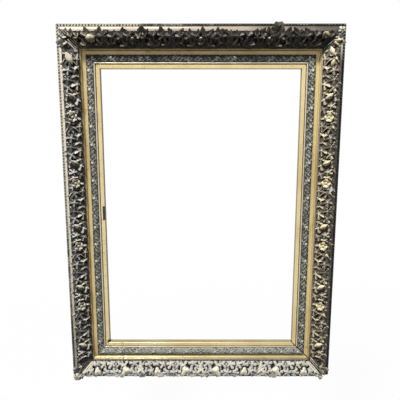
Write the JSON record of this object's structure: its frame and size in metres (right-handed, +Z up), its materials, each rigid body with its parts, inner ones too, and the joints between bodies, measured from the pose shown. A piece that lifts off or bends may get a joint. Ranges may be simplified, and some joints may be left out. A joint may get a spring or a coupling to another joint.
{
  "type": "picture frame",
  "caption": "Empty upright picture frame: mitred rails with foliate relief and beaded rim, gilt inner mouldings, flower band, sight slip, turn buttons and ring hangers.",
  "frame": {"origin": "centre of the flat back of the top rail, where the frame meets the wall", "axes": "+Z up, +Y from the front to the wall, +X to the right seen from the front"},
  "size_m": [0.774, 0.0831, 1.016],
  "materials": {
    "bronzed_wood": "dark bronzed gesso on softwood, rubbed pale on the edges",
    "aged_silver": "cast composition, dark silvered, cream and gold on the high points",
    "gilt": "gold leaf on gesso over wood, worn",
    "pale_wood": "bare hardwood",
    "brass": "dull",
    "iron": "dark plated"
  },
  "bodies": {
    "frame": {"rail_top": "bronzed_wood", "beaded_rim_top": "bronzed_wood", "foliage_top": "aged_silver", "gilt_moulding_top": "gilt", "flower_band_top": "aged_silver", "sight_slip_top": "gilt", "rail_bottom": "bronzed_wood", "beaded_rim_bottom": "bronzed_wood", "foliage_bottom": "aged_silver", "gilt_moulding_bottom": "gilt", "flower_band_bottom": "aged_silver", "sight_slip_bottom": "gilt", "stile_left": "bronzed_wood", "beaded_rim_left": "bronzed_wood", "foliage_left": "aged_silver", "gilt_moulding_left": "gilt", "flower_band_left": "aged_silver", "sight_slip_left": "gilt", "stile_right": "bronzed_wood", "beaded_rim_right": "bronzed_wood", "foliage_right": "aged_silver", "gilt_moulding_right": "gilt", "flower_band_right": "aged_silver", "sight_slip_right": "gilt", "mitre_key_top_left": "pale_wood", "mitre_key_top_right": "pale_wood", "mitre_key_bottom_left": "pale_wood", "mitre_key_bottom_right": "pale_wood", "corner_leaf_top_left": "aged_silver", "corner_leaf_top_right": "aged_silver", "corner_leaf_bottom_left": "aged_silver", "corner_leaf_bottom_right_rail_half": "aged_silver", "corner_leaf_bottom_right_stile_half": "aged_silver", "turn_button_screw_top": "brass", "turn_button_screw_bottom": "brass", "turn_button_screw_left_upper": "brass", "turn_button_screw_left_lower": "brass", "turn_button_screw_right_upper": "brass", "turn_button_screw_right_lower": "brass", "hanger_strap_left": "iron", "hanger_screw_left_inner": "iron", "hanger_screw_left_outer": "iron", "hanger_strap_right": "iron", "hanger_screw_right_inner": "iron", "hanger_screw_right_outer": "iron"},
    "turn_button_top": {"turn_button_top": "brass"},
    "turn_button_bottom": {"turn_button_bottom": "brass"},
    "turn_button_left_upper": {"turn_button_left_upper": "brass"},
    "turn_button_left_lower": {"turn_button_left_lower": "brass"},
    "turn_button_right_upper": {"turn_button_right_upper": "brass"},
    "turn_button_right_lower": {"turn_button_right_lower": "brass"},
    "hanger_ring_left": {"hanger_ring_left": "iron"},
    "hanger_ring_right": {"hanger_ring_right": "iron"}
  },
  "joints": [
    {"name": "turn_button_top_turn", "type": "hinge", "parent": "frame", "child": "turn_button_top", "pos_m": [0, -0.005, -0.06225], "axis": [0, 1, 0], "continuous": true},
    {"name": "turn_button_bottom_turn", "type": "hinge", "parent": "frame", "child": "turn_button_bottom", "pos_m": [0, -0.005, -0.89225], "axis": [0, 1, 0], "continuous": true},
    {"name": "turn_button_left_upper_turn", "type": "hinge", "parent": "frame", "child": "turn_button_left_upper", "pos_m": [-0.294, -0.005, -0.22325], "axis": [0, 1, 0], "continuous": true},
    {"name": "turn_button_left_lower_turn", "type": "hinge", "parent": "frame", "child": "turn_button_left_lower", "pos_m": [-0.294, -0.005, -0.73125], "axis": [0, 1, 0], "continuous": true},
    {"name": "turn_button_right_upper_turn", "type": "hinge", "parent": "frame", "child": "turn_button_right_upper", "pos_m": [0.294, -0.005, -0.22325], "axis": [0, 1, 0], "continuous": true},
    {"name": "turn_button_right_lower_turn", "type": "hinge", "parent": "frame", "child": "turn_button_right_lower", "pos_m": [0.294, -0.005, -0.73125], "axis": [0, 1, 0], "continuous": true},
    {"name": "hanger_ring_left_swing", "type": "hinge", "parent": "frame", "child": "hanger_ring_left", "pos_m": [-0.337, 0.0033, -0.25373], "axis": [0, 0, 1], "range_deg": [0, 180]},
    {"name": "hanger_ring_right_swing", "type": "hinge", "parent": "frame", "child": "hanger_ring_right", "pos_m": [0.337, 0.0033, -0.25373], "axis": [0, 0, -1], "range_deg": [0, 180]}
  ]
}
